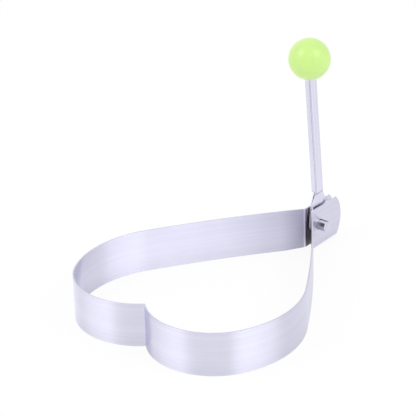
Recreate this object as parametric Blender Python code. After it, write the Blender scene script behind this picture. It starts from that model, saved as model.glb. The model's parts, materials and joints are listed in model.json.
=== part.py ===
"""Heart-shaped egg ring of steel strip with a folding handle and a round knob.

Lengths are in metres. The ring stands on the ground with +Z up. +Y runs from the
heart's cleft to its point, where the hinge is, and the hinge pin lies along X.
The origin is on the ground under the middle of the ring's outline.
"""
import bpy
import bmesh
from math import acos, atan2, cos, pi, radians, sin, sqrt
from mathutils import Matrix, Vector

# Strip that the ring is bent from
STRIP_THICKNESS = 0.0005
STRIP_HEIGHT = 0.015

# Heart outline, along the middle of the strip
LOBE_RADIUS = 0.02224
LOBE_SPREAD = 0.01522
LOBE_END = radians(-26.5)
CHEEK_RADIUS = 0.0335
CHEEK_END = radians(31.8)
SIDE_RADIUS = 0.411
FOLD_RADIUS = 0.001

# Ears: the strip's two ends, folded out side by side at the heart's point
EAR_GAP = 0.0023
EAR_REACH = 0.01165
EAR_ROOT_LIFT = 0.0006
EAR_TOE_LIFT = 0.0011
LIFT_RUN = 0.006
EAR_TOE_TURN = radians(-36.9)
EAR_PEAK_TURN = radians(38.2)

# Upper edge of an ear: a tooth, a dip and the peak where the round end starts. The
# shares place the seat's end, the tooth's two corners and the dip between pin and peak
TOOTH_HEIGHT = 0.0006
TOOTH_FALL = 0.0001
DIP_RISE = 0.0001
PEAK_RISE = 0.0003
EAR_EDGE_SHARES = (0.295, 0.437, 0.611, 0.841)

# Pin, a short solid rod
PIN_FROM_FOLD = 0.00405
PIN_HEIGHT = 0.0083
PIN_RADIUS = 0.00185
PIN_STICK_OUT = 0.0030

# Handle: folded sheet, pressed flat into a tongue at the hinge
SHEET_THICKNESS = 0.0006
TONGUE_RADIUS = 0.0034
TONGUE_RISE = 0.0076
TONGUE_SHIFT = 0.0009
TUBE_WIDTH = 0.0027
TUBE_DEPTH = 0.0035
TUBE_CORNER = 0.0005
TUBE_SEAM = 0.0005
TUBE_SEAM_SHIFT = 0.0004
TUBE_FOOT_RISE = 0.0120
TUBE_FOOT_SHIFT = 0.0006
TUBE_LEAN = radians(4.8)
PLUG_LENGTH = 0.0020

# Knob
KNOB_RADIUS = 0.0070
KNOB_DISTANCE = 0.0495
KNOB_SOCKET_DEPTH = 0.0085

# Room kept between pieces that touch on the real object
FIT_GAP = 0.0003

# How far a cutting shape runs past what it cuts
OVERRUN = 0.002

# Number of flats in each round stretch
LOBE_STEPS = 30
CHEEK_STEPS = 16
SIDE_STEPS = 8
FOLD_STEPS = 6
EAR_STEPS = 18
ROUND_STEPS = 32
CORNER_STEPS = 3

STEEL = (0.78, 0.77, 0.88)
LIME = (0.61, 0.9, 0.24)


def clear_scene():
    for old in list(bpy.data.objects):
        bpy.data.objects.remove(old, do_unlink=True)


def material(name, colour, metallic, roughness):
    made = bpy.data.materials.new(name)
    made.use_nodes = True
    shader = made.node_tree.nodes["Principled BSDF"]
    shader.inputs["Base Color"].default_value = (*colour, 1)
    shader.inputs["Metallic"].default_value = metallic
    shader.inputs["Roughness"].default_value = roughness
    made.diffuse_color = (*colour, 1)
    return made


def add_object(name, mesh, parent=None):
    made = bpy.data.objects.new(name, mesh)
    bpy.context.collection.objects.link(made)
    made.parent = parent
    return made


def mesh_from(name, shape):
    bmesh.ops.recalc_face_normals(shape, faces=shape.faces)
    mesh = bpy.data.meshes.new(name)
    shape.to_mesh(mesh)
    shape.free()
    return mesh


def prism(name, outline, direction, low, high):
    """Closed solid that carries a flat outline from low to high along a direction.

    The outline's points are 3D and lie in a plane through the origin, square to
    the direction.
    """
    shape = bmesh.new()
    direction = Vector(direction)
    corners = [shape.verts.new(Vector(point) + direction * low) for point in outline]
    face = shape.faces.new(corners)
    grown = bmesh.ops.extrude_face_region(shape, geom=[face])
    moved = [item for item in grown["geom"] if isinstance(item, bmesh.types.BMVert)]
    bmesh.ops.translate(shape, verts=moved, vec=direction * (high - low))
    return mesh_from(name, shape)


def side_prism(name, outline, low, high):
    """Solid with an outline of (y, z) points, carried along X."""
    return prism(name, [(0, y, z) for y, z in outline], (1, 0, 0), low, high)


def upright_prism(name, outline, low, high):
    """Solid with an outline of (x, y) points, carried along Z."""
    return prism(name, [(x, y, 0) for x, y in outline], (0, 0, 1), low, high)


def arc(centre, radius, start, end, steps):
    angles = [start + (end - start) * step / steps for step in range(steps + 1)]
    return [(centre[0] + radius * cos(a), centre[1] + radius * sin(a)) for a in angles]


def circle(centre, radius, steps):
    return arc(centre, radius, 0, 2 * pi, steps)[:-1]


def from_centre(centre, radius, angle):
    return (centre[0] + radius * cos(angle), centre[1] + radius * sin(angle))


def cut(target, tool, operation="DIFFERENCE"):
    """Boolean of one object with a hidden tool, whose mesh isn't part of the object."""
    tool.hide_render = True
    tool.display_type = "WIRE"
    step = target.modifiers.new(tool.name, "BOOLEAN")
    step.operation = operation
    step.solver = "EXACT"
    step.object = tool


def shade(item, coat, crease_angle):
    item.data.materials.append(coat)
    item.data.shade_smooth()
    item.data.set_sharp_from_angle(angle=crease_angle)


def heart_centres():
    """Centres of the lobe, cheek, side and fold arcs on the +X half, and the fold's turn."""
    lobe = (LOBE_SPREAD, 0)
    cheek = from_centre(lobe, LOBE_RADIUS - CHEEK_RADIUS, LOBE_END)
    side = from_centre(cheek, CHEEK_RADIUS - SIDE_RADIUS, CHEEK_END)
    ear_middle = (EAR_GAP + STRIP_THICKNESS) / 2
    turn = acos((ear_middle + FOLD_RADIUS - side[0]) / (SIDE_RADIUS + FOLD_RADIUS))
    fold = from_centre(side, SIDE_RADIUS + FOLD_RADIUS, turn)
    return lobe, cheek, side, fold, turn


def pin_from_lobes():
    fold = heart_centres()[3]
    return fold[1] + PIN_FROM_FOLD


def origin_y():
    """Middle of the ring's length, measured from the line through the lobe centres."""
    lobe_low = -(LOBE_RADIUS + STRIP_THICKNESS / 2)
    return (lobe_low + pin_from_lobes() + EAR_REACH) / 2


def pin_y():
    return pin_from_lobes() - origin_y()


def ear_end_y():
    return pin_y() + EAR_REACH


def half_path(shift):
    """Plan points of one face of the strip on the +X half, from the cleft to past the ear.

    The shift is how far the face lies outside the middle of the strip.
    """
    lobe, cheek, side, fold, turn = heart_centres()
    lobe_radius = LOBE_RADIUS + shift
    cleft = acos(LOBE_SPREAD / lobe_radius) - pi
    path = arc(lobe, lobe_radius, cleft, LOBE_END, LOBE_STEPS)
    path += arc(cheek, CHEEK_RADIUS + shift, LOBE_END, CHEEK_END, CHEEK_STEPS)[1:]
    path += arc(side, SIDE_RADIUS + shift, CHEEK_END, turn, SIDE_STEPS)[1:]
    path += arc(fold, FOLD_RADIUS - shift, turn + pi, pi, FOLD_STEPS)[1:]
    path = [(x, y - origin_y()) for x, y in path]
    path.append((path[-1][0], ear_end_y() + OVERRUN))
    return path


def band_blank(name):
    """The bent strip, standing taller and lower than the finished ring, with plain ends."""
    outer = half_path(STRIP_THICKNESS / 2)
    inner = half_path(-STRIP_THICKNESS / 2)
    pairs = [((-a[0], a[1]), (-b[0], b[1])) for a, b in zip(outer, inner)]
    pairs = pairs[:0:-1] + list(zip(outer, inner))
    low = -OVERRUN
    high = STRIP_HEIGHT + TOOTH_HEIGHT + OVERRUN
    shape = bmesh.new()
    rings = []
    for (outer_x, outer_y), (inner_x, inner_y) in pairs:
        places = ((outer_x, outer_y, low), (inner_x, inner_y, low),
                  (inner_x, inner_y, high), (outer_x, outer_y, high))
        rings.append([shape.verts.new(place) for place in places])
    for ring, after in zip(rings, rings[1:]):
        for corner in range(4):
            following = (corner + 1) % 4
            shape.faces.new((ring[corner], ring[following], after[following], after[corner]))
    shape.faces.new(rings[0])
    shape.faces.new(rings[-1])
    return mesh_from(name, shape)


def ear_end():
    """Side view of the ear's round end, from the toe up to the peak."""
    rise = (STRIP_HEIGHT + PEAK_RISE - PIN_HEIGHT) / sin(EAR_PEAK_TURN)
    fall = (EAR_TOE_LIFT - PIN_HEIGHT) / sin(EAR_TOE_TURN)
    turns = arc((0, 0), 1, EAR_TOE_TURN, EAR_PEAK_TURN, EAR_STEPS)
    return [(pin_y() + EAR_REACH * along, PIN_HEIGHT + (rise if up > 0 else fall) * up)
            for along, up in turns]


def ear_upper_edge():
    """Side view of the ear's upper edge, from the dip back over the tooth to its seat."""
    heights = (STRIP_HEIGHT, STRIP_HEIGHT + TOOTH_HEIGHT,
               STRIP_HEIGHT + TOOTH_HEIGHT - TOOTH_FALL, STRIP_HEIGHT + DIP_RISE)
    run = EAR_REACH * cos(EAR_PEAK_TURN)
    places = [(pin_y() + run * share, z) for share, z in zip(EAR_EDGE_SHARES, heights)]
    return places[::-1]


def band_side_outline():
    """The ring seen along the pin: level rim, and the ear with its tooth and round end."""
    fold_y = pin_y() - PIN_FROM_FOLD
    back = -ear_end_y() - OVERRUN
    outline = [(back, 0), (fold_y - LIFT_RUN, 0), (fold_y, EAR_ROOT_LIFT)]
    return outline + ear_end() + ear_upper_edge() + [(back, STRIP_HEIGHT)]


def make_ring_band(steel):
    band = add_object("ring_band", band_blank("ring_band"))
    half_width = CHEEK_RADIUS + SIDE_RADIUS
    profile = side_prism("band_profile", band_side_outline(), -half_width, half_width)
    cut(band, add_object("band_profile", profile), "INTERSECT")
    half_hole = EAR_GAP / 2 + STRIP_THICKNESS + OVERRUN
    hole = circle((pin_y(), PIN_HEIGHT), PIN_RADIUS + FIT_GAP, ROUND_STEPS)
    cut(band, add_object("ear_holes", side_prism("ear_holes", hole, -half_hole, half_hole)))
    shade(band, steel, radians(20))


def make_pivot_pin(steel):
    """A solid rod through both ears, standing out of each by the same length."""
    outline = circle((0, 0), PIN_RADIUS, ROUND_STEPS)
    half_length = EAR_GAP / 2 + STRIP_THICKNESS + PIN_STICK_OUT
    pin = add_object("pivot_pin", side_prism("pivot_pin", outline, -half_length, half_length))
    pin.location = (0, pin_y(), PIN_HEIGHT)
    shade(pin, steel, radians(35))


def tangent_tilt(lower, upper, lower_radius, upper_radius):
    """Angle, from the line between two circles, of the radius to their common tangent."""
    distance = sqrt((upper[0] - lower[0]) ** 2 + (upper[1] - lower[1]) ** 2)
    return acos((lower_radius - upper_radius) / distance)


def tongue_outline():
    """Side view of the flat tongue: round the pin, up, and in to the foot of the tube."""
    pin = (0, 0)
    top = (TONGUE_SHIFT, TONGUE_RISE)
    climb = atan2(TONGUE_RISE, TONGUE_SHIFT)
    spread = tangent_tilt(pin, top, TONGUE_RADIUS, TONGUE_RADIUS)
    half_spigot = (TUBE_DEPTH - SHEET_THICKNESS) / 2
    spigot_low = (TUBE_FOOT_SHIFT, TUBE_FOOT_RISE)
    spigot_high = tube_point(0, PLUG_LENGTH / 2)
    outline = arc(pin, TONGUE_RADIUS, climb + spread, climb - spread + 2 * pi, ROUND_STEPS)
    for hand, start in ((1, climb - spread), (-1, climb + spread)):
        corner = (spigot_low[0] + hand * half_spigot, spigot_low[1] + SHEET_THICKNESS)
        away = atan2(corner[1] - top[1], corner[0] - top[0])
        reach = sqrt((corner[0] - top[0]) ** 2 + (corner[1] - top[1]) ** 2)
        end = away - hand * acos(TONGUE_RADIUS / reach)
        shoulder = arc(top, TONGUE_RADIUS, start, end, CORNER_STEPS * 2)
        side = shoulder + [corner, (spigot_high[0] + hand * half_spigot, spigot_high[1])]
        outline += side if hand > 0 else side[::-1]
    return outline


def tube_point(across, along):
    """Place in the hinge's (y, z) plane of a point given across and up the leaning tube."""
    return (TUBE_FOOT_SHIFT + across * cos(TUBE_LEAN) - along * sin(TUBE_LEAN),
            TUBE_FOOT_RISE + across * sin(TUBE_LEAN) + along * cos(TUBE_LEAN))


def rounded_corners(half_x, half_y, radius):
    """Four corner arcs, anticlockwise from the one at -X -Y."""
    turns = ((-1, -1, pi), (1, -1, 1.5 * pi), (1, 1, 0), (-1, 1, 0.5 * pi))
    return [arc((x * (half_x - radius), y * (half_y - radius)), radius,
                start, start + pi / 2, CORNER_STEPS) for x, y, start in turns]


def tube_outline():
    """Cross-section of the folded tube, open at the seam in the face towards the ring."""
    half_x = TUBE_WIDTH / 2
    half_y = TUBE_DEPTH / 2
    left = TUBE_SEAM_SHIFT - TUBE_SEAM / 2
    right = TUBE_SEAM_SHIFT + TUBE_SEAM / 2
    first, second, third, fourth = rounded_corners(half_x, half_y, TUBE_CORNER)
    inner_x = half_x - SHEET_THICKNESS
    inner_y = half_y - SHEET_THICKNESS
    outer = [(right, -half_y)] + second + third + fourth + first + [(left, -half_y)]
    inner = [(left, -inner_y), (-inner_x, -inner_y), (-inner_x, inner_y),
             (inner_x, inner_y), (inner_x, -inner_y), (right, -inner_y)]
    return outer + inner


def tube_place():
    """Stands a solid made along Z on the foot of the leaning tube."""
    foot = Matrix.Translation((0, TUBE_FOOT_SHIFT, TUBE_FOOT_RISE))
    return foot @ Matrix.Rotation(TUBE_LEAN, 4, "X")


def make_handle(steel, hinge):
    top = KNOB_DISTANCE - KNOB_RADIUS + KNOB_SOCKET_DEPTH - FIT_GAP
    tube = upright_prism("handle", tube_outline(), 0, top)
    tube.transform(tube_place())
    handle = add_object("handle", tube, hinge)
    half_x = (TUBE_WIDTH - SHEET_THICKNESS) / 2
    half_y = (TUBE_DEPTH - SHEET_THICKNESS) / 2
    corners = ((-half_x, -half_y), (half_x, -half_y), (half_x, half_y), (-half_x, half_y))
    plug = upright_prism("pressed_end", corners, SHEET_THICKNESS / 2, PLUG_LENGTH)
    plug.transform(tube_place())
    cut(handle, add_object("pressed_end", plug, hinge), "UNION")
    tongue = side_prism("tongue", tongue_outline(), -SHEET_THICKNESS, SHEET_THICKNESS)
    cut(handle, add_object("tongue", tongue, hinge), "UNION")
    hole = circle((0, 0), PIN_RADIUS + FIT_GAP, ROUND_STEPS)
    bore = side_prism("tongue_hole", hole, -TUBE_WIDTH, TUBE_WIDTH)
    cut(handle, add_object("tongue_hole", bore, hinge))
    shade(handle, steel, radians(35))


def make_ball_knob(plastic, hinge):
    shape = bmesh.new()
    bmesh.ops.create_uvsphere(shape, u_segments=ROUND_STEPS, v_segments=ROUND_STEPS // 2,
                              radius=KNOB_RADIUS)
    bmesh.ops.translate(shape, verts=shape.verts, vec=(0, 0, KNOB_DISTANCE))
    ball = mesh_from("ball_knob", shape)
    ball.transform(tube_place())
    knob = add_object("ball_knob", ball, hinge)
    corners = rounded_corners(TUBE_WIDTH / 2 + FIT_GAP, TUBE_DEPTH / 2 + FIT_GAP,
                              TUBE_CORNER + FIT_GAP)
    outline = [point for corner in corners for point in corner]
    mouth = KNOB_DISTANCE - KNOB_RADIUS
    socket = upright_prism("knob_socket", outline, mouth - OVERRUN, mouth + KNOB_SOCKET_DEPTH)
    socket.transform(tube_place())
    cut(knob, add_object("knob_socket", socket, hinge))
    shade(knob, plastic, radians(40))


def make_hinge():
    """Empty on the pin's axis, which carries everything that swings."""
    hinge = bpy.data.objects.new("handle_hinge", None)
    bpy.context.collection.objects.link(hinge)
    hinge.location = (0, pin_y(), PIN_HEIGHT)
    return hinge


def main():
    clear_scene()
    steel = material("brushed_steel", STEEL, 1.0, 0.32)
    plastic = material("lime_plastic", LIME, 0.0, 0.45)
    hinge = make_hinge()
    make_ring_band(steel)
    make_pivot_pin(steel)
    make_handle(steel, hinge)
    make_ball_knob(plastic, hinge)
    bpy.context.view_layer.update()


main()
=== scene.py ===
"""Looks of a heart-shaped egg ring with a folding handle and a ball knob.

Lengths are in metres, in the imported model's own frame: +Z up, +Y from the heart's cleft
to the hinge, +X along the hinge pin. Each operator makes one piece of the ring around
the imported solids, and the last one sets up the white sweep, the light and the camera.
"""

import json
from math import acos, atan2, cos, pi, radians, sin, sqrt

import bmesh
import bpy
from bpy.props import FloatProperty, FloatVectorProperty, PointerProperty
from bpy.types import Operator, Panel, PropertyGroup
from mathutils import Matrix, Vector

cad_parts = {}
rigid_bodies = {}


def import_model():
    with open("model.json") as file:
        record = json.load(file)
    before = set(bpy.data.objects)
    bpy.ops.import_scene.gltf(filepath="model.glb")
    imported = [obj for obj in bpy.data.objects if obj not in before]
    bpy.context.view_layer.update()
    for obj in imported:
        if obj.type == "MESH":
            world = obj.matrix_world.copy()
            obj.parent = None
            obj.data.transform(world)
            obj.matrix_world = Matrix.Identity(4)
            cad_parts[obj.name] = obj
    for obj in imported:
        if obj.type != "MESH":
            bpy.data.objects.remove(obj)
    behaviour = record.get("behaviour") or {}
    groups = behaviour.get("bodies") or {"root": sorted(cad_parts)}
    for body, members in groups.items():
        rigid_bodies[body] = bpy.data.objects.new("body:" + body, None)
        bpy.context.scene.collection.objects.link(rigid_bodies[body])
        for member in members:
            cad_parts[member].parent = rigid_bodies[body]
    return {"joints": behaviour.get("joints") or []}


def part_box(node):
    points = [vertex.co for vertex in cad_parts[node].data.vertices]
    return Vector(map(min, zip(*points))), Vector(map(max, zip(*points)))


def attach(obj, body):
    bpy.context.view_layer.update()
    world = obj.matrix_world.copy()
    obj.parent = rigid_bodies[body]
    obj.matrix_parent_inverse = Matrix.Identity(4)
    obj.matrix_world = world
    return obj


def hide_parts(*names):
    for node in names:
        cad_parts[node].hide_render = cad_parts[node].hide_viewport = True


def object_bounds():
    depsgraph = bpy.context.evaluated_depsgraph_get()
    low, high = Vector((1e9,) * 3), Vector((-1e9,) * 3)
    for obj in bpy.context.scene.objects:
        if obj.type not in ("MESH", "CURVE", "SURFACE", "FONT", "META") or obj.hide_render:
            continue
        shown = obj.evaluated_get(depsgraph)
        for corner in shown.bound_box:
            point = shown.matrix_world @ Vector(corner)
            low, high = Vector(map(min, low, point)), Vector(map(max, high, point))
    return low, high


bl_info = {
    "name": "Heart Egg Ring",
    "version": (1, 0, 0),
    "blender": (4, 5, 0),
    "location": "3D View > Sidebar > Egg Ring",
    "description": "Makes the steel band, pin, folding handle and knob of an egg ring",
    "category": "Object",
}

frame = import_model()
CAD_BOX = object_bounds()
HINGE = Vector(frame["joints"][0]["pos_m"])
BAND_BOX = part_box("ring_band")

# Smallest distance between corners that aren't the same corner
MERGE = 1e-7
# Flats round the pin and its holes
ROUND_FLATS = 96


def length(name, text, default):
    return FloatProperty(name=name, description=text, default=default, min=0,
                         unit="LENGTH", precision=5)


def angle(name, text, default):
    return FloatProperty(name=name, description=text, default=default, subtype="ANGLE")


def colour(name, text, default):
    return FloatVectorProperty(name=name, description=text, default=default, size=3,
                               min=0, max=1, subtype="COLOR")


def share(name, text, default):
    return FloatProperty(name=name, description=text, default=default, min=0, max=1,
                         subtype="FACTOR")


class BandSizes(PropertyGroup):
    """Sizes of the bent strip and its two ears"""
    thickness: length("Strip thickness", "Thickness of the steel strip", 0.0005)
    height: length("Strip height", "Height of the strip from rim to rim", 0.015)
    lobe_radius: length("Lobe radius", "Radius of the two lobes at mid strip", 0.02224)
    lobe_spread: length("Lobe spread", "Distance of a lobe's centre from the middle",
                        0.01522)
    lobe_end: angle("Lobe end", "Plan angle where the lobe turns into the cheek",
                    radians(-26.5))
    cheek_radius: length("Cheek radius", "Radius of the widest stretch", 0.0335)
    cheek_end: angle("Cheek end", "Plan angle where the cheek turns into the side",
                     radians(31.8))
    side_radius: length("Side radius", "Radius of the long, nearly straight sides",
                        0.411)
    cleft_radius: length("Cleft radius", "Radius of the fold in the cleft", 0.0004)
    fold_radius: length("Ear fold radius", "Radius of the folds at the roots of the ears",
                        0.001)
    ear_gap: length("Ear gap", "Room between the two ears", 0.0023)
    ear_reach: length("Ear reach", "Distance from the pin to the ear's round end",
                      0.01165)
    pin_from_fold: length("Pin from fold", "Distance from the ear folds to the pin",
                          0.00405)
    root_lift: length("Root lift", "Rise of the lower edge at the ear's root", 0.0006)
    toe_lift: length("Toe lift", "Rise of the lower edge at the ear's toe", 0.0011)
    lift_run: length("Lift run", "Length of strip over which the lower edge rises",
                     0.006)
    toe_turn: angle("Toe turn", "Angle about the pin of the toe", radians(-36.9))
    peak_turn: angle("Peak turn", "Angle about the pin of the peak", radians(38.2))
    tooth_height: length("Tooth height", "Height of the tooth above the rim", 0.0006)
    tooth_fall: length("Tooth fall", "Slope of the tooth's top", 0.0001)
    dip_rise: length("Dip rise", "Height of the dip above the rim", 0.0001)
    peak_rise: length("Peak rise", "Height of the peak above the rim", 0.0003)
    corner_round: length("Corner rounding", "Rounding of the punched outline", 0.00022)
    hole_room: length("Hole room", "Room between the pin and its holes", 0.00004)
    edge_round: length("Edge rounding", "Rounding of the strip's edges", 0.00007)


class PinSizes(PropertyGroup):
    """Sizes of the rod that is the hinge pin"""
    radius: length("Radius", "Radius of the rod", 0.00185)
    stick_out: length("Stick out", "How far the rod stands out of each ear", 0.0030)
    end_round: length("End rounding", "Rounding of the rod's ends", 0.00012)
    dish: length("Dish", "Depth of the shallow dish that the end was faced to", 0.00004)
    dish_radius: length("Dish radius", "Radius of that dish", 0.0015)


class HandleSizes(PropertyGroup):
    """Sizes of the folded sheet handle"""
    sheet: length("Sheet", "Thickness of the folded sheet", 0.0006)
    tongue_radius: length("Tongue radius", "Radius of the tongue round the pin", 0.0034)
    tongue_rise: length("Tongue rise", "Height of the tongue's shoulder arc", 0.0076)
    tongue_shift: length("Tongue shift", "Offset of the shoulder arc along the ring",
                         0.0009)
    layer_groove: length("Layer groove", "Gap between the tongue's two layers", 0.00007)
    groove_depth: length("Groove depth", "Depth of that gap at the tongue's edge",
                         0.00022)
    slit: length("Slit", "Width of the gap where the layers part below the tube",
                 0.00040)
    slit_drop: length("Slit drop", "Height of that gap", 0.0036)
    slit_belly: length("Slit belly", "Distance of the gap's widest place below the foot",
                       0.0013)
    tube_width: length("Tube width", "Width of the tube along the pin", 0.0027)
    tube_depth: length("Tube depth", "Depth of the tube along the ring", 0.0035)
    tube_corner: length("Tube corner", "Outer rounding of the folds", 0.00055)
    tube_seam: length("Tube seam", "Width of the open seam", 0.00005)
    seam_shift: length("Seam shift", "Offset of the seam from the middle", 0.00066)
    lip_round: length("Lip rounding", "Rounding of the folded lips at the seam", 0.0001)
    foot_rise: length("Foot rise", "Height of the tube's foot above the pin", 0.0120)
    foot_shift: length("Foot shift", "Offset of the tube's foot along the ring", 0.0006)
    lean: angle("Lean", "Lean of the tube towards the ring", radians(4.8))
    plug: length("Plug", "Length of the pressed end inside the tube", 0.0020)
    bore_room: length("Bore room", "Room between the pin and the tongue", 0.00006)
    edge_round: length("Edge rounding", "Rounding of the sheared edges", 0.00008)


class KnobSizes(PropertyGroup):
    """Sizes of the moulded ball"""
    radius: length("Radius", "Radius of the ball", 0.0070)
    distance: length("Distance", "Distance of the ball's centre from the tube's foot",
                     0.0495)
    socket: length("Socket", "Depth of the socket", 0.0085)
    socket_room: length("Socket room", "Room round the tube in the socket", 0.00005)
    mouth_round: length("Mouth rounding", "Rounding of the socket's mouth", 0.00025)
    parting: length("Parting line", "Height of the line where the mould halves met",
                    0.000025)


class FinishColours(PropertyGroup):
    """Colours of the finishes"""
    strip: colour("Strip steel", "Brushed strip", (0.83, 0.82, 0.975))
    tube: colour("Handle steel", "Drawn tube", (0.83, 0.82, 0.965))
    # Tint for painted shade, laid between the ears and on the rod's round side
    painted_shade: colour("Painted shade", "Steel where grime lies on it", (0.80, 0.765, 0.825))
    knob: colour("Knob plastic", "Lime moulding", (0.60, 0.882, 0.235))
    sweep: colour("Sweep", "Floor", (0.98, 0.98, 0.98))


class StudioSettings(PropertyGroup):
    """Camera and light"""
    azimuth: angle("Azimuth", "Camera's turn about the ring", radians(40.6608))
    elevation: angle("Elevation", "Camera's height above the floor", radians(25.8277))
    roll: angle("Roll", "Camera's roll", radians(-1.5828))
    lens: FloatProperty(name="Lens", description="Focal length in millimetres",
                        default=178.612, min=1, unit="CAMERA")
    distance: length("Distance", "Distance of the camera", 0.680989)
    across: FloatProperty(name="Across", description="Framing across the picture",
                          default=0.0106672, unit="LENGTH", precision=5)
    upward: FloatProperty(name="Upward", description="Framing up the picture",
                          default=-0.0270071, unit="LENGTH", precision=5)
    sweep_size: length("Sweep size", "Side of the floor", 6.0)
    sweep_drop: length("Sweep drop", "How far the floor lies below the rim", 0.00003)
    shadow: share("Shadow", "How much of the shadow the floor shows", 0.12)
    daylight: FloatProperty(name="Daylight",
                            description="Strength of the light all round",
                            default=0.90, min=0)
    box_power: FloatProperty(name="Softbox power", description="Power of each softbox",
                             default=0.55, min=0, unit="POWER")


class EggRingSettings(PropertyGroup):
    """All that can be set on the egg ring"""
    band: PointerProperty(type=BandSizes)
    pin: PointerProperty(type=PinSizes)
    handle: PointerProperty(type=HandleSizes)
    knob: PointerProperty(type=KnobSizes)
    finish: PointerProperty(type=FinishColours)
    studio: PointerProperty(type=StudioSettings)


# Modelling by hand

def deselect_all():
    if bpy.context.mode != "OBJECT":
        bpy.ops.object.mode_set(mode="OBJECT")
    bpy.ops.object.select_all(action="DESELECT")


def take(piece):
    deselect_all()
    bpy.context.view_layer.objects.active = piece
    piece.select_set(True)
    return piece


def edit(piece):
    take(piece)
    bpy.ops.object.mode_set(mode="EDIT")
    return bmesh.from_edit_mesh(piece.data)


def end_edit():
    bpy.ops.object.mode_set(mode="OBJECT")


def select_where(piece, kind, test):
    """Selects, in edit mode, the corners, edges or faces that pass a test."""
    shape = bmesh.from_edit_mesh(piece.data)
    bpy.ops.mesh.select_all(action="DESELECT")
    bpy.ops.mesh.select_mode(type=kind)
    items = {"VERT": shape.verts, "EDGE": shape.edges, "FACE": shape.faces}[kind]
    found = 0
    for item in items:
        chosen = test(item)
        item.select_set(chosen)
        found += chosen
    shape.select_flush_mode()
    bmesh.update_edit_mesh(piece.data)
    return found


def first_corner(name, point):
    """A new piece that is one corner, ready to be extruded, in edit mode."""
    deselect_all()
    bpy.ops.mesh.primitive_plane_add(size=1, location=point)
    piece = bpy.context.object
    piece.name = name
    piece.data.name = name
    take(piece)
    bpy.ops.object.transform_apply(location=True, rotation=True, scale=True)
    bpy.ops.object.mode_set(mode="EDIT")
    bpy.ops.mesh.select_mode(type="VERT")
    bpy.ops.mesh.select_all(action="SELECT")
    bpy.ops.mesh.merge(type="CENTER")
    return piece


def traced_face(name, outline):
    """A flat face traced corner by corner, in edit mode with the face selected."""
    corners = [Vector(point) for point in outline]
    piece = first_corner(name, corners[0])
    for before, after in zip(corners, corners[1:]):
        bpy.ops.mesh.extrude_vertices_move(
            TRANSFORM_OT_translate={"value": after - before})
    bpy.ops.mesh.select_all(action="SELECT")
    bpy.ops.mesh.edge_face_add()
    bpy.ops.mesh.select_mode(type="FACE")
    bpy.ops.mesh.select_all(action="SELECT")
    return piece


def extrude(step):
    bpy.ops.mesh.extrude_region_move(TRANSFORM_OT_translate={"value": Vector(step)})


def spin(turn, flats, centre, axis):
    """Sweeps the selection anticlockwise about an axis."""
    bpy.ops.mesh.spin(steps=flats, angle=-turn, center=centre, axis=axis)


def tidy_shell():
    """Merges doubles and turns the faces outwards, in edit mode."""
    bpy.ops.mesh.select_all(action="SELECT")
    bpy.ops.mesh.remove_doubles(threshold=MERGE)
    bpy.ops.mesh.normals_make_consistent(inside=False)


def block(name, outline, step):
    """A closed solid: a traced face carried along a step."""
    piece = traced_face(name, outline)
    extrude(step)
    tidy_shell()
    end_edit()
    return piece


def apply_modifier(piece, kind, **settings):
    take(piece)
    step = piece.modifiers.new(kind.lower(), kind)
    for key, value in settings.items():
        setattr(step, key, value)
    bpy.ops.object.modifier_apply(modifier=step.name)


def join_or_cut(piece, tool, operation="DIFFERENCE"):
    apply_modifier(piece, "BOOLEAN", object=tool, operation=operation, solver="EXACT")
    bpy.data.objects.remove(tool, do_unlink=True)


def drill(piece, radius, depth):
    """Drills a round hole along the hinge."""
    bpy.ops.mesh.primitive_cylinder_add(vertices=ROUND_FLATS, radius=radius, depth=depth,
                                        location=HINGE, rotation=(0, pi / 2, 0))
    join_or_cut(piece, bpy.context.object)


def soften(piece, width, flats, sharp=radians(38)):
    """Rounds the sharp edges by a set width."""
    edit(piece)
    tidy_shell()
    end_edit()
    apply_modifier(piece, "BEVEL", width=width, segments=flats, limit_method="ANGLE",
                   angle_limit=sharp, use_clamp_overlap=True, miter_outer="MITER_ARC")


def smooth(piece, crease=radians(50)):
    take(piece)
    bpy.ops.object.shade_smooth_by_angle(angle=crease)
    apply_modifier(piece, "WEIGHTED_NORMAL", keep_sharp=True, weight=80)


def dress(piece, finish, body, node):
    """Gives a piece its finish and its place in the moving frame."""
    piece.data.materials.clear()
    piece.data.materials.append(finish)
    take(piece)
    bpy.ops.object.transform_apply(location=True, rotation=True, scale=True)
    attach(piece, body)
    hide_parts(node)


# Plan and side views

def arc(centre, radius, start, end, steps):
    angles = [start + (end - start) * step / steps for step in range(steps + 1)]
    return [(centre[0] + radius * cos(a), centre[1] + radius * sin(a)) for a in angles]


def from_centre(centre, radius, turn):
    return (centre[0] + radius * cos(turn), centre[1] + radius * sin(turn))


def heart_plan(band):
    """Arcs of the +X half from the cleft on: centre, start, end and number of flats."""
    lobe = (band.lobe_spread, 0)
    reach = band.lobe_radius + band.cleft_radius
    cleft = (0, -sqrt(reach ** 2 - band.lobe_spread ** 2))
    start = atan2(cleft[1] - lobe[1], cleft[0] - lobe[0])
    cheek = from_centre(lobe, band.lobe_radius - band.cheek_radius, band.lobe_end)
    side = from_centre(cheek, band.cheek_radius - band.side_radius, band.cheek_end)
    ear_middle = (band.ear_gap + band.thickness) / 2
    turn = acos((ear_middle + band.fold_radius - side[0])
                / (band.side_radius + band.fold_radius))
    fold = from_centre(side, band.side_radius + band.fold_radius, turn)
    shift = HINGE.y - band.pin_from_fold - fold[1]
    arcs = [(cleft, pi / 2, start + pi, 8), (lobe, start, band.lobe_end, 56),
            (cheek, band.lobe_end, band.cheek_end, 36),
            (side, band.cheek_end, turn, 18), (fold, turn + pi, pi, 14)]
    return [((x, y + shift), first, last, flats) for (x, y), first, last, flats in arcs]


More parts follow.
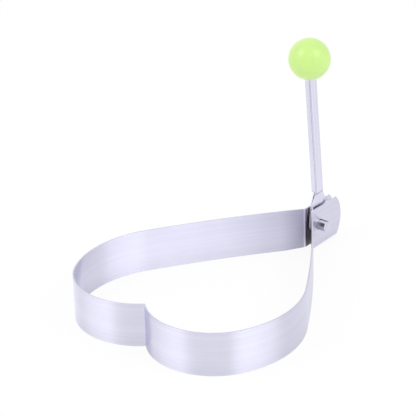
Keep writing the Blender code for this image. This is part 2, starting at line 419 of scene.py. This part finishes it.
def bent_half(band):
    """The +X half of the strip, bent arc by arc from its cross-section in the cleft."""
    arcs = heart_plan(band)
    apex = arcs[0][0][1] + band.cleft_radius
    low = BAND_BOX[0].z - band.height
    high = BAND_BOX[1].z + band.height
    near = apex - band.thickness / 2
    far = apex + band.thickness / 2
    section = [(0, near, low), (0, far, low), (0, far, high), (0, near, high)]
    piece = traced_face("heart_band", section)
    for (x, y), first, last, flats in arcs:
        spin(last - first, flats, (x, y, 0), (0, 0, 1))
    extrude((0, HINGE.y + band.ear_reach + band.height - arcs[-1][0][1], 0))
    select_where(piece, "FACE", lambda f: all(v.co.x < MERGE for v in f.verts))
    bpy.ops.mesh.delete(type="FACE")
    end_edit()
    return piece


def band_profile(band):
    """Side view that the bent strip is trimmed to, with its ears, as (y, z) points."""
    pin_y, pin_z = HINGE.y, HINGE.z
    rise = (band.height + band.peak_rise - pin_z) / sin(band.peak_turn)
    fall = (band.toe_lift - pin_z) / sin(band.toe_turn)
    outline = [(pin_y + band.ear_reach * x, pin_z + (rise if z > 0 else fall) * z)
               for x, z in arc((0, 0), 1, band.toe_turn, band.peak_turn, 48)]
    run = band.ear_reach * cos(band.peak_turn)
    tooth = band.height + band.tooth_height
    # Shares of the way from the pin to the peak
    dip, tooth_front, tooth_back, tooth_root = 0.841, 0.611, 0.437, 0.295
    edge = ((dip, band.height + band.dip_rise), (tooth_front, tooth - band.tooth_fall),
            (tooth_back, tooth), (tooth_root, band.height))
    outline += [(pin_y + run * place, z) for place, z in edge]
    fold_y = pin_y - band.pin_from_fold
    back = -(pin_y + band.ear_reach + band.height)
    outline += [(back, band.height), (back, 0), (fold_y - band.lift_run, 0),
                (fold_y, band.root_lift)]
    return outline


def make_band(band, pin, finish):
    piece = bent_half(band)
    apply_modifier(piece, "MIRROR", use_axis=(True, False, False),
                   merge_threshold=MERGE)
    edit(piece)
    tidy_shell()
    end_edit()
    half = CAD_BOX[1].x + band.height
    profile = traced_face("trim", [(-half, y, z) for y, z in band_profile(band)])
    ear_start = HINGE.y - band.pin_from_fold
    select_where(profile, "VERT", lambda v: v.co.y > ear_start + band.thickness
                 and is_corner(v))
    bpy.ops.mesh.bevel(affect="VERTICES", offset=band.corner_round, segments=4)
    bpy.ops.mesh.select_mode(type="FACE")
    bpy.ops.mesh.select_all(action="SELECT")
    extrude((2 * half, 0, 0))
    tidy_shell()
    end_edit()
    join_or_cut(piece, profile, "INTERSECT")
    drill(piece, pin.radius + band.hole_room, band.height)
    soften(piece, band.edge_round, 2)
    smooth(piece)
    dress(piece, finish, "ring", "ring_band")


def is_corner(vert, bend=radians(12)):
    """Whether the outline turns by more than a set angle at a corner."""
    first, second = [edge.other_vert(vert).co - vert.co for edge in vert.link_edges[:2]]
    return pi - first.angle(second) > bend


def make_pin(pin, band, finish):
    """Turns the rod, with rounded rims and a shallow dish in its faced ends."""
    half = band.ear_gap / 2 + band.thickness + pin.stick_out
    curve = arc((half - pin.end_round, pin.radius - pin.end_round), pin.end_round,
                pi / 2, 0, 6)
    floor = half - pin.dish
    end = curve + [(half, pin.dish_radius), (floor, pin.dish_radius - 3 * pin.dish),
                   (floor, 0)]
    profile = [(-x, r) for x, r in end[::-1]] + end
    piece = traced_face("turned_pin", [HINGE + Vector((x, 0, r)) for x, r in profile])
    bpy.ops.mesh.delete(type="ONLY_FACE")
    bpy.ops.mesh.select_all(action="SELECT")
    spin(2 * pi, ROUND_FLATS, HINGE, (1, 0, 0))
    tidy_shell()
    end_edit()
    smooth(piece)
    dress(piece, finish, "ring", "pivot_pin")


# Handle

def tube_place(handle):
    """Stands what is made along Z on the foot of the leaning tube."""
    foot = Matrix.Translation(HINGE + Vector((0, handle.foot_shift, handle.foot_rise)))
    return foot @ Matrix.Rotation(handle.lean, 4, "X")


def rounded_corners(half_x, half_y, radius, steps=6):
    """Four corner arcs, anticlockwise from the one at -X -Y."""
    turns = ((-1, -1, pi), (1, -1, 1.5 * pi), (1, 1, 0), (-1, 1, 0.5 * pi))
    return [arc((x * (half_x - radius), y * (half_y - radius)), radius,
                start, start + pi / 2, steps) for x, y, start in turns]


def tube_section(handle):
    """Cross-section of the folded tube with rounded lips along its open seam."""
    half_x, half_y = handle.tube_width / 2, handle.tube_depth / 2
    lip = handle.lip_round
    left = handle.seam_shift - handle.tube_seam / 2
    right = handle.seam_shift + handle.tube_seam / 2
    outer = rounded_corners(half_x, half_y, handle.tube_corner)
    inner_x, inner_y = half_x - handle.sheet, half_y - handle.sheet
    points = arc((right + lip, -half_y + lip), lip, pi, 1.5 * pi, 5)
    for corner in outer[1:] + outer[:1]:
        points += corner
    points += arc((left - lip, -half_y + lip), lip, 1.5 * pi, 2 * pi, 5)
    points += [(left, -inner_y), (-inner_x, -inner_y), (-inner_x, inner_y),
               (inner_x, inner_y), (inner_x, -inner_y), (right, -inner_y)]
    return points


def along_tube(handle, points, height):
    place = tube_place(handle)
    return [place @ Vector((x, y, height)) for x, y in points]


def tongue_outline(handle, shrink=0.0):
    """Side view of the tongue about the pin, as (y, z) points, drawn in by a width."""
    radius = handle.tongue_radius - shrink
    top = (handle.tongue_shift, handle.tongue_rise)
    climb = atan2(top[1], top[0])
    half_foot = (handle.tube_depth - handle.sheet) / 2 - shrink
    outline = arc((0, 0), radius, climb + pi / 2, climb - pi / 2 + 2 * pi, 60)
    for hand in (1, -1):
        corner = (handle.foot_shift + hand * half_foot, handle.foot_rise + handle.sheet)
        away = atan2(corner[1] - top[1], corner[0] - top[0])
        reach = sqrt((corner[0] - top[0]) ** 2 + (corner[1] - top[1]) ** 2)
        end = away - hand * acos(radius / reach)
        side = arc(top, radius, climb - hand * pi / 2, end, 14) + [corner]
        side.append((corner[0] - handle.plug / 2 * sin(handle.lean),
                     corner[1] + handle.plug / 2))
        outline += side if hand > 0 else side[::-1]
    return outline


def tongue_plate(handle, name, low, high, shrink=0.0):
    outline = [HINGE + Vector((low, y, z)) for y, z in tongue_outline(handle, shrink)]
    return block(name, outline, (high - low, 0, 0))


def layer_slit(handle):
    """Wedge that parts the two layers at the tongue's edge, just below the tube."""
    foot = HINGE + Vector((0, handle.foot_shift, handle.foot_rise))
    near = -handle.tongue_radius - handle.foot_shift
    top = handle.sheet / 2
    outline = [foot + Vector(point) for point in
               ((-handle.layer_groove / 2, near, top), (handle.layer_groove, near, top),
                (handle.slit, near, -handle.slit_belly),
                (handle.layer_groove, near, -handle.slit_drop),
                (-handle.layer_groove / 2, near, -handle.slit_drop))]
    reach = handle.tongue_radius + handle.foot_shift - handle.tube_depth / 4
    return block("slit", outline, (0, reach, 0))


def make_handle(handle, knob, pin, finish):
    top = knob.distance - knob.radius + knob.socket - handle.sheet
    step = tube_place(handle).to_3x3() @ Vector((0, 0, top))
    piece = block("folded_handle", along_tube(handle, tube_section(handle), 0), step)
    half_x = (handle.tube_width - handle.sheet) / 2
    half_y = (handle.tube_depth - handle.sheet) / 2
    corners = ((-half_x, -half_y), (half_x, -half_y), (half_x, half_y),
               (-half_x, half_y))
    lift = handle.sheet
    plug = block("plug", along_tube(handle, corners, lift),
                 tube_place(handle).to_3x3() @ Vector((0, 0, handle.plug - lift)))
    join_or_cut(piece, plug, "UNION")
    groove = handle.layer_groove / 2
    tongue = tongue_plate(handle, "tongue", -handle.sheet, -groove)
    join_or_cut(tongue, tongue_plate(handle, "layer", groove, handle.sheet), "UNION")
    join_or_cut(tongue, tongue_plate(handle, "core", -2 * groove, 2 * groove,
                                     handle.groove_depth), "UNION")
    drill(tongue, pin.radius + handle.bore_room, 4 * handle.tube_width)
    join_or_cut(piece, tongue, "UNION")
    join_or_cut(piece, layer_slit(handle))
    soften(piece, handle.edge_round, 2)
    smooth(piece)
    dress(piece, finish, "folding_handle", "handle")


def make_knob(knob, handle, finish):
    deselect_all()
    bpy.ops.mesh.primitive_uv_sphere_add(segments=128, ring_count=64,
                                         radius=knob.radius)
    piece = take(bpy.context.object)
    piece.name = piece.data.name = "moulded_knob"
    bpy.ops.object.mode_set(mode="EDIT")
    select_where(piece, "VERT", lambda v: abs(v.co.z) < MERGE)
    swell = (knob.radius + knob.parting) / knob.radius
    bpy.ops.transform.resize(value=(swell, swell, 1))
    end_edit()
    piece.data.transform(tube_place(handle) @ Matrix.Translation((0, 0, knob.distance)))
    half_x = handle.tube_width / 2 + knob.socket_room
    half_y = handle.tube_depth / 2 + knob.socket_room
    corners = rounded_corners(half_x, half_y, handle.tube_corner + knob.socket_room)
    mouth = knob.distance - 2 * knob.radius
    outline = along_tube(handle, [p for corner in corners for p in corner], mouth)
    depth = knob.radius + knob.socket
    socket = block("socket", outline,
                   tube_place(handle).to_3x3() @ Vector((0, 0, depth)))
    join_or_cut(piece, socket)
    soften(piece, knob.mouth_round, 4)
    smooth(piece)
    dress(piece, finish, "folding_handle", "ball_knob")


# Finishes

WHITE = (1, 1, 1, 1)
# Nearly upright, so that it never runs along the normal of a level face
UPRIGHT = (0.02, 0.03, 1.0)


def node_adder(tree):
    """A helper that adds a node to a tree, sets it and links what it is given."""
    def add(kind, inputs=None, **settings):
        node = tree.nodes.new("ShaderNode" + kind)
        for key, value in settings.items():
            setattr(node, key, value)
        for key, value in (inputs or {}).items():
            if isinstance(value, bpy.types.NodeSocket):
                tree.links.new(value, node.inputs[key])
            else:
                node.inputs[key].default_value = value
        return node

    return add


def new_finish(name):
    """A fresh material with its shader, a helper that adds nodes, and its links."""
    finish = bpy.data.materials.new(name)
    finish.use_nodes = True
    tree = finish.node_tree
    return finish, tree.nodes["Principled BSDF"], node_adder(tree), tree.links


def reckon(add, operation, first, second=0.0):
    return add("Math", {0: first, 1: second}, operation=operation).outputs["Value"]


def plus(add, first, second):
    return reckon(add, "ADD", first, second)


def minus(add, first, second):
    return reckon(add, "SUBTRACT", first, second)


def times(add, first, second):
    return reckon(add, "MULTIPLY", first, second)


def fade(add, value, start, end, low=0.0, high=1.0):
    """Turns smoothly from one level at the value's start to another at its end."""
    return add("MapRange", {"Value": value, "From Min": start, "From Max": end,
                            "To Min": low, "To Max": high},
               interpolation_type="SMOOTHSTEP").outputs["Result"]


def noise(add, vector, scale, detail, **inputs):
    return add("TexNoise", {"Vector": vector, "Scale": scale, "Detail": detail,
                            **inputs}).outputs["Fac"]


def blend(add, factor, first, second, kind="MIX"):
    """A colour between two colours, or their product."""
    return add("Mix", {"Factor": factor, "A": first, "B": second},
               data_type="RGBA", blend_type=kind).outputs["Result"]


def shade(tint, share_of_tint):
    return (*[min(1.0, part * share_of_tint) for part in tint], 1)


def apart(add, vector):
    parts = add("SeparateXYZ", {"Vector": vector}).outputs
    return parts["X"], parts["Y"], parts["Z"]


def marked(add, tone, mark, level, *covers):
    """Brings a tone to a level of itself where all the covers of a mark are 1."""
    cover = covers[0]
    for other in covers[1:]:
        cover = times(add, cover, other)
    left = add("MapRange", {"Value": cover, "To Min": 1.0, "To Max": level}, label=mark)
    return times(add, tone, left.outputs["Result"])


def away_from(add, first, second, spot):
    """Distance from a spot, both given by the same two coordinates."""
    offset = add("CombineXYZ", {"X": minus(add, first, spot[0]),
                                "Y": minus(add, second, spot[1])})
    return add("VectorMath", {0: offset.outputs[0]}, operation="LENGTH").outputs["Value"]


# Marks on the steel, placed to match the photo. Each has a name, the share of the tone
# that it leaves, and covers that fade from where it starts to where it is full.
# Most are painted shade, painted highlights and painted reflections put into the steel's
# colour.

def band_wear_and_painted_shade(add, place, facing, band):
    """Tone of the strip with its painted shade, highlights and reflections, and how much
    painted shade tint lies on it.
    """
    x, y, z = apart(add, place)
    across, along, upright = apart(add, facing)
    outward = times(add, across, reckon(add, "SIGN", x))
    inside = fade(add, outward, 0, -0.3)
    rim = fade(add, reckon(add, "ABSOLUTE", upright), 0.5, 0.8)
    fold = HINGE.y - band.pin_from_fold
    before_fold = fade(add, y, fold + 0.0005, fold)
    past_fold = fade(add, y, fold - 0.0003, fold + 0.0002)
    tone = marked(add, 1.0, "sheared_rims", 0.86, rim)
    # Darker towards the lower rim
    tone = marked(add, tone, "darker_towards_lower_rim", 0.94, fade(add, z, 0.007, 0.0))

    # Painted reflection: a soft dark patch inside the widest bends of both lobes
    slant = 0.54
    slanting = minus(add, y, times(add, z, slant))
    tone = marked(add, tone, "painted_reflection_inside_widest_bends", 0.82, inside,
                  fade(add, slanting, -0.0405, -0.0465),
                  fade(add, reckon(add, "ABSOLUTE", x), 0.0270, 0.0360))

    # Painted shade on the inside of the strip, deepening towards the ear fold
    tone = marked(add, tone, "painted_shade_towards_fold", 0.86, inside, before_fold,
                  fade(add, y, fold - 0.026, fold - 0.006))
    tone = marked(add, tone, "painted_shade_near_fold", 0.84, inside, before_fold,
                  fade(add, y, fold - 0.008, fold - 0.002))
    # Painted highlight: a bright line on the inside where the strip bends into the ear
    tone = marked(add, tone, "painted_highlight_at_fold", 1.45, inside,
                  fade(add, y, fold - 0.0011, fold - 0.0009),
                  fade(add, y, fold - 0.0004, fold - 0.0006))
    # Painted shade between the ears, deepest low down
    tone = marked(add, tone, "painted_shade_between_ears", 0.62, inside, past_fold,
                  fade(add, z, 0.0100, 0.0065))
    tone = marked(add, tone, "painted_shade_low_between_ears", 0.62, inside, past_fold,
                  fade(add, z, 0.0065, 0.0035), fade(add, z, 0.0, 0.0012, 0.3, 1.0))

    # Painted light: the outside of the ear is lightened round the pin, on the fold side
    patch_y = HINGE.y - 0.0006
    tone = marked(add, tone, "painted_light_round_pin", 1.10, fade(add, outward, 0.5, 0.9),
                  fade(add, away_from(add, y, z, (patch_y, HINGE.z)), 0.0032, 0.0022),
                  fade(add, minus(add, y, patch_y), 0.0006, -0.0006))

    # Painted shade in the crease beside the cleft, on the +X lobe only
    cleft = heart_plan(band)[0][0]
    from_cleft = away_from(add, x, y, cleft)
    tone = marked(add, tone, "painted_shade_beside_cleft", 0.80, fade(add, from_cleft, 0.0095, 0.005),
                  fade(add, from_cleft, 0.0005, 0.0025), fade(add, along, 0, -0.3),
                  fade(add, x, 0.0, 0.0006))

    # The painted shade tint lies on the inside near the folds and between the ears, below
    # the ear's peak
    painted_shade_share = times(add, inside, fade(add, y, fold - 0.0012, fold + 0.0003))
    ear_peak = fade(add, y, HINGE.y + 0.0082, HINGE.y + 0.0070)
    return tone, times(add, painted_shade_share, ear_peak)


def pin_painted_shade(add, place, facing, band):
    """Tone of the rod, with bands of painted shade along its length, and how much painted
    shade tint is on its round side.
    """
    from_middle = reckon(add, "ABSOLUTE", apart(add, place)[0])
    across, along, upright = apart(add, facing)
    round_side = fade(add, reckon(add, "ABSOLUTE", across), 0.8, 0.4)
    turn = reckon(add, "ARCTAN2", upright, along)
    below_zero = fade(add, turn, 0, radians(-1))
    turn = plus(add, turn, times(add, below_zero, 2 * pi))

    def stripe(start, full, last, end):
        """Covers of a band along the rod, by its turn in degrees."""
        return (fade(add, turn, radians(start), radians(full)),
                fade(add, turn, radians(end), radians(last)))

    ear_inside = band.ear_gap / 2
    ear = ear_inside + band.thickness
    tone = marked(add, 0.975, "round_side", 0.93, round_side)
    # Painted shade: a dark band along the top of the rod
    tone = marked(add, tone, "painted_shade_upper_stripe", 0.28, round_side, *stripe(40, 50, 91, 101))
    # Painted shade on the rod near each ear
    tone = marked(add, tone, "painted_shade_near_ear", 0.92, round_side,
                  fade(add, from_middle, ear + 0.0015, ear + 0.0004))
    # Painted shade: a dark band along the rear of the rod, weaker near the ears
    tone = marked(add, tone, "painted_shade_rear_stripe", 0.20, round_side,
                  fade(add, from_middle, ear, ear + 0.0020, 0.44, 1.0),
                  *stripe(120, 135, 158, 183))
    # Painted shade on the underside of the rod
    tone = marked(add, tone, "painted_shade_underside", 0.66, round_side,
                  fade(add, turn, radians(160), radians(185)))
    # Painted shade on the rod between the ears
    tone = marked(add, tone, "painted_shade_between_ears", 0.25,
                  fade(add, from_middle, ear_inside, ear_inside - 0.0002))
    # Painted shade tint: half of it on the rod's round side
    painted_shade_share = 0.5
    return tone, times(add, round_side, painted_shade_share)


def tube_ways(add, handle, y, z):
    """Distances from the tube's foot: up along the tube, and across it."""
    from_y = minus(add, y, HINGE.y + handle.foot_shift)
    from_z = minus(add, z, HINGE.z + handle.foot_rise)

    def along(way_y, way_z):
        return plus(add, times(add, from_y, way_y), times(add, from_z, way_z))

    return (along(-sin(handle.lean), cos(handle.lean)),
            along(cos(handle.lean), sin(handle.lean)))


def handle_painted_shade(add, place, facing, handle):
    """Tone of the handle with its painted shade and reflections, and how much painted
    shade tint lies between the ears.
    """
    y, z = apart(add, place)[1:]
    across, along = apart(add, facing)[:2]
    hidden = fade(add, away_from(add, y, z, (HINGE.y, HINGE.z)), 0.0069, 0.0064)
    not_far_side = fade(add, across, -0.7, -0.3)
    # Painted shade on the tongue where it is hidden between the ears, and low on it
    tone = marked(add, 1.0, "painted_shade_between_ears", 0.60, hidden, not_far_side)
    tone = marked(add, tone, "painted_shade_low_on_tongue", 0.66,
                  fade(add, z, HINGE.z + 0.004, HINGE.z - 0.002), not_far_side)

    climb, over = tube_ways(add, handle, y, z)
    tube = fade(add, climb, 0.0, 0.0002)
    flank = fade(add, across, 0.6, 0.95)
    # Painted reflections: the tube's front and front corners darker, its flank edges
    # darker and its flank lighter
    tone = marked(add, tone, "painted_reflection_tube_front", 0.89, fade(add, along, -0.6, -0.9), tube)
    tone = marked(add, tone, "painted_reflection_tube_front_corner", 0.94, fade(add, along, -0.25, -0.4),
                  fade(add, along, -0.95, -0.8), tube)
    tone = marked(add, tone, "painted_reflection_flank_front_edge", 0.94, tube, flank,
                  fade(add, over, -0.0003, -0.0012))
    tone = marked(add, tone, "painted_reflection_flank_rear_edge", 0.96, tube, flank,
                  fade(add, over, 0.0003, 0.0008))
    tone = marked(add, tone, "flank", 1.035, tube, flank)
    # Painted shadow: a dark line on the tongue just under the tube's foot
    tone = marked(add, tone, "painted_shadow_under_tube_foot", 0.50,
                  fade(add, climb, -0.0010, -0.0006), fade(add, climb, 0.0002, 0.0001),
                  fade(add, across, 0.3, 0.7))
    # The painted shade tint lies where the tongue is hidden between the ears, less on the
    # edge facing -Y
    return tone, times(add, hidden, fade(add, along, -0.6, -0.2, 0.35, 1.0))


def steel_finish(name, tint, painted_shade_tint, grain_scale, roughness, spread, tangent, tones_and_shade):
    """Brushed steel whose grain is fine where its scale is large."""
    finish, shader, add, links = new_finish(name)
    source = add("TexCoord")
    place = source.outputs["Object"]
    tone, painted_shade = tones_and_shade(add, place, source.outputs["Normal"])
    stretched = add("Mapping", {"Vector": place, "Scale": grain_scale}).outputs["Vector"]
    grain = noise(add, stretched, 1.0, 3.0, Roughness=0.65)
    streaks = noise(add, stretched, 0.22, 2.0, Roughness=0.5)
    cloud = noise(add, place, 70.0, 2.0)
    lines = plus(add, fade(add, grain, 0.3, 0.7, 0.0, 0.5),
                 fade(add, streaks, 0.3, 0.7, 0.0, 0.5))
    clean = blend(add, lines, shade(tint, 0.955), shade(tint, 1.035))
    # The painted shade tint is mixed in here, and the tone with its painted shade,
    # highlights and reflections multiplies the colour
    with_painted_shade = blend(add, painted_shade, clean, (*painted_shade_tint, 1))
    links.new(blend(add, 1.0, with_painted_shade, tone, "MULTIPLY"), shader.inputs["Base Color"])

    rough = plus(add, fade(add, grain, 0.3, 0.7, roughness - 0.04, roughness + 0.05),
                 fade(add, cloud, 0.35, 0.7, 0.0, 0.05))
    rough = plus(add, rough, fade(add, tone, 1.0, 0.3, 0.0, 0.15))
    links.new(rough, shader.inputs["Roughness"])
    bump = add("Bump", {"Height": grain, "Strength": 0.25, "Distance": 0.00001})
    links.new(bump.outputs["Normal"], shader.inputs["Normal"])
    turned = add("VectorTransform", {"Vector": tangent}, vector_type="VECTOR",
                 convert_from="OBJECT", convert_to="WORLD")
    links.new(turned.outputs["Vector"], shader.inputs["Tangent"])
    shader.inputs["Metallic"].default_value = 1.0
    shader.inputs["Anisotropic"].default_value = spread
    return finish


def plastic_finish(name, tint):
    """Satin moulded plastic with faint flow clouding and a fine mould texture."""
    finish, shader, add, links = new_finish(name)
    place = add("TexCoord").outputs["Object"]
    flow = noise(add, place, 180.0, 3.0)
    clouded = blend(add, fade(add, flow, 0.3, 0.7), shade(tint, 0.975), shade(tint, 1.02))
    links.new(clouded, shader.inputs["Base Color"])
    links.new(fade(add, flow, 0.3, 0.7, 0.28, 0.34), shader.inputs["Roughness"])
    skin = noise(add, place, 4200.0, 2.0)
    bump = add("Bump", {"Height": skin, "Strength": 0.12, "Distance": 0.00002})
    links.new(bump.outputs["Normal"], shader.inputs["Normal"])
    shader.inputs["IOR"].default_value = 1.5
    shader.inputs["Specular IOR Level"].default_value = 0.9
    shader.inputs["Sheen Weight"].default_value = 0.35
    shader.inputs["Sheen Roughness"].default_value = 0.45
    return finish


# Studio

# The studio as the steel reflects it, estimated from the bands in the photo: three
# bright walls, each with the dimmer gap after it. A row is where the wall starts and
# ends in plan degrees, its level and the gap's level.
WALLS = ((-145, -105, 1.09, 0.91), (-15, 30, 1.12, 0.87), (140, 160, 1.09, 0.95))
WALL_EDGE = 15

# Plan angle of each softbox, and what both share
SOFTBOXES = {"left_softbox": radians(-121), "right_softbox": radians(8)}
SOFTBOX_RISE = radians(48)
SOFTBOX_DISTANCE = 0.7
SOFTBOX_SIZE = 0.28


def wall_stops():
    """Ramp stops (turn in degrees, level) round the studio, with soft wall edges."""
    last_gap = WALLS[-1][3]
    stops = [(-180, last_gap)]
    before = last_gap
    for start, end, level, gap in WALLS:
        stops += [(start - WALL_EDGE, before), (start, level),
                  (end, level), (end + WALL_EDGE, gap)]
        before = gap
    return stops + [(180, last_gap)]


def set_stops(stops, places):
    """Gives a colour ramp the grey levels of a list of (turn in degrees, level)."""
    while len(stops) > 1:
        stops.remove(stops[-1])
    for index, (degree, level) in enumerate(places):
        at = (degree + 180) / 360
        stop = stops[0] if index == 0 else stops.new(at)
        stop.position = at
        stop.color = (level, level, level, 1)


def make_world(studio):
    """White behind the ring, plain daylight on it, and the walls in its reflections."""
    world = bpy.data.worlds.new("studio_walls")
    bpy.context.scene.world = world
    world.use_nodes = True
    world.node_tree.nodes.clear()
    add = node_adder(world.node_tree)
    x, y = apart(add, add("TexCoord").outputs["Generated"])[:2]
    level = add("MapRange", {"Value": reckon(add, "ARCTAN2", y, x),
                             "From Min": -pi, "From Max": pi})
    ramp = add("ValToRGB", {"Fac": level.outputs["Result"]})
    set_stops(ramp.color_ramp.elements, wall_stops())
    ray = add("LightPath").outputs
    walls = add("Background", {"Color": ramp.outputs["Color"]})
    plain = add("Background", {"Color": WHITE, "Strength": studio.daylight})
    white = add("Background", {"Color": WHITE})
    glossy = add("MixShader", {0: ray["Is Glossy Ray"], 1: plain.outputs[0],
                               2: walls.outputs[0]})
    seen = add("MixShader", {0: ray["Is Camera Ray"], 1: glossy.outputs[0],
                             2: white.outputs[0]})
    add("OutputWorld", {"Surface": seen.outputs[0]})


def make_sweep(studio, tint):
    """The pale floor, which shows only a share of the shadow to the camera."""
    deselect_all()
    bpy.ops.mesh.primitive_plane_add(
        size=studio.sweep_size, location=(0, 0, BAND_BOX[0].z - studio.sweep_drop))
    floor = bpy.context.object
    floor.name = "white_sweep"
    finish, shader, add, links = new_finish("white_sweep")
    shader.inputs["Base Color"].default_value = (*tint, 1)
    shader.inputs["Roughness"].default_value = 0.9
    shader.inputs["Specular IOR Level"].default_value = 0.0
    glow = add("Emission", {"Strength": 1.0})
    share_lit = times(add, add("LightPath").outputs["Is Camera Ray"], 1 - studio.shadow)
    mixed = add("MixShader", {0: share_lit, 1: shader.outputs[0], 2: glow.outputs[0]})
    surface = finish.node_tree.nodes["Material Output"].inputs["Surface"]
    links.new(mixed.outputs[0], surface)
    floor.data.materials.append(finish)
    floor.visible_glossy = False


def make_softbox(name, turn, power):
    """A square softbox that looks at the ring from a plan angle."""
    lamp = bpy.data.lights.new(name, "AREA")
    lamp.size = SOFTBOX_SIZE
    lamp.energy = power
    item = bpy.data.objects.new(name, lamp)
    bpy.context.scene.collection.objects.link(item)
    level = cos(SOFTBOX_RISE)
    away = Vector((cos(turn) * level, sin(turn) * level, sin(SOFTBOX_RISE)))
    item.location = away * SOFTBOX_DISTANCE
    item.rotation_euler = away.to_track_quat("Z", "Y").to_euler()


def make_camera(studio):
    """A camera fitted to the photo: turned, raised, rolled and shifted."""
    a, e, r = studio.azimuth, studio.elevation, studio.roll
    back = Vector((sin(a) * cos(e), -cos(a) * cos(e), sin(e)))
    level = Vector((cos(a), sin(a), 0))
    upright = back.cross(level)
    right = level * cos(r) + upright * sin(r)
    up = upright * cos(r) - level * sin(r)
    place = back * studio.distance - right * studio.across - up * studio.upward
    lens = bpy.data.cameras.new("product_camera")
    lens.lens = studio.lens
    lens.sensor_width = 36
    lens.clip_start = 0.01
    camera = bpy.data.objects.new("product_camera", lens)
    bpy.context.scene.collection.objects.link(camera)
    camera.matrix_world = Matrix((
        (right.x, up.x, back.x, place.x), (right.y, up.y, back.y, place.y),
        (right.z, up.z, back.z, place.z), (0, 0, 0, 1)))
    bpy.context.scene.camera = camera


# Operators

class EGGRING_OT_studio(Operator):
    """Set up the white sweep, the light and the camera"""
    bl_idname = "egg_ring.studio"
    bl_label = "Studio"

    def execute(self, context):
        settings = context.scene.egg_ring
        context.scene.view_settings.view_transform = "Standard"
        make_camera(settings.studio)
        make_world(settings.studio)
        make_sweep(settings.studio, settings.finish.sweep)
        for name, turn in SOFTBOXES.items():
            make_softbox(name, turn, settings.studio.box_power)
        return {"FINISHED"}


class EGGRING_OT_band(Operator):
    """Bend the strip into the heart, punch its ears and drill them"""
    bl_idname = "egg_ring.band"
    bl_label = "Heart band"

    def execute(self, context):
        settings = context.scene.egg_ring
        finish = steel_finish(
            "brushed_strip", settings.finish.strip, settings.finish.painted_shade,
            grain_scale=(45, 45, 4200), roughness=0.32, spread=0.97, tangent=UPRIGHT,
            tones_and_shade=lambda *spot: band_wear_and_painted_shade(*spot, settings.band))
        make_band(settings.band, settings.pin, finish)
        return {"FINISHED"}


class EGGRING_OT_pin(Operator):
    """Turn the rod that the handle swings on"""
    bl_idname = "egg_ring.pin"
    bl_label = "Hinge pin"

    def execute(self, context):
        settings = context.scene.egg_ring
        finish = steel_finish(
            "drawn_rod", settings.finish.strip, settings.finish.painted_shade,
            grain_scale=(60, 3000, 3000), roughness=0.32, spread=0.97, tangent=UPRIGHT,
            tones_and_shade=lambda *spot: pin_painted_shade(*spot, settings.band))
        make_pin(settings.pin, settings.band, finish)
        return {"FINISHED"}


class EGGRING_OT_handle(Operator):
    """Fold the sheet handle with its tongue and tube"""
    bl_idname = "egg_ring.handle"
    bl_label = "Folding handle"

    def execute(self, context):
        settings = context.scene.egg_ring
        finish = steel_finish(
            "drawn_tube", settings.finish.tube, settings.finish.painted_shade,
            grain_scale=(3600, 3600, 60), roughness=0.28, spread=0.4,
            tangent=(0.7, 0.7, 0.02),
            tones_and_shade=lambda *spot: handle_painted_shade(*spot, settings.handle))
        make_handle(settings.handle, settings.knob, settings.pin, finish)
        return {"FINISHED"}


class EGGRING_OT_knob(Operator):
    """Mould the ball knob onto the end of the handle"""
    bl_idname = "egg_ring.knob"
    bl_label = "Ball knob"

    def execute(self, context):
        settings = context.scene.egg_ring
        make_knob(settings.knob, settings.handle,
                  plastic_finish("lime_moulding", settings.finish.knob))
        return {"FINISHED"}


class EGGRING_PT_pieces(Panel):
    """Pieces of the egg ring"""
    bl_label = "Egg Ring"
    bl_idname = "EGGRING_PT_pieces"
    bl_space_type = "VIEW_3D"
    bl_region_type = "UI"
    bl_category = "Egg Ring"

    def draw(self, context):
        settings = context.scene.egg_ring
        for operator, group in PANEL_ROWS:
            box = self.layout.box()
            box.operator(operator)
            for key in getattr(settings, group).bl_rna.properties.keys():
                if key not in ("rna_type", "name"):
                    box.prop(getattr(settings, group), key)


PANEL_ROWS = (("egg_ring.studio", "studio"), ("egg_ring.band", "band"),
              ("egg_ring.pin", "pin"), ("egg_ring.handle", "handle"),
              ("egg_ring.knob", "knob"))
CLASSES = (BandSizes, PinSizes, HandleSizes, KnobSizes, FinishColours, StudioSettings,
           EggRingSettings, EGGRING_OT_studio, EGGRING_OT_band, EGGRING_OT_pin,
           EGGRING_OT_handle, EGGRING_OT_knob, EGGRING_PT_pieces)


def register():
    for made in CLASSES:
        bpy.utils.register_class(made)
    bpy.types.Scene.egg_ring = PointerProperty(type=EggRingSettings)


def unregister():
    del bpy.types.Scene.egg_ring
    for made in reversed(CLASSES):
        bpy.utils.unregister_class(made)


def main():
    register()
    for item in list(bpy.data.objects):
        if item.type in {"CAMERA", "LIGHT"} or item.name == "Cube":
            bpy.data.objects.remove(item, do_unlink=True)
    bpy.ops.egg_ring.studio()
    bpy.ops.egg_ring.band()
    bpy.ops.egg_ring.pin()
    bpy.ops.egg_ring.handle()
    bpy.ops.egg_ring.knob()
    deselect_all()


if __name__ == "__main__":
    main()
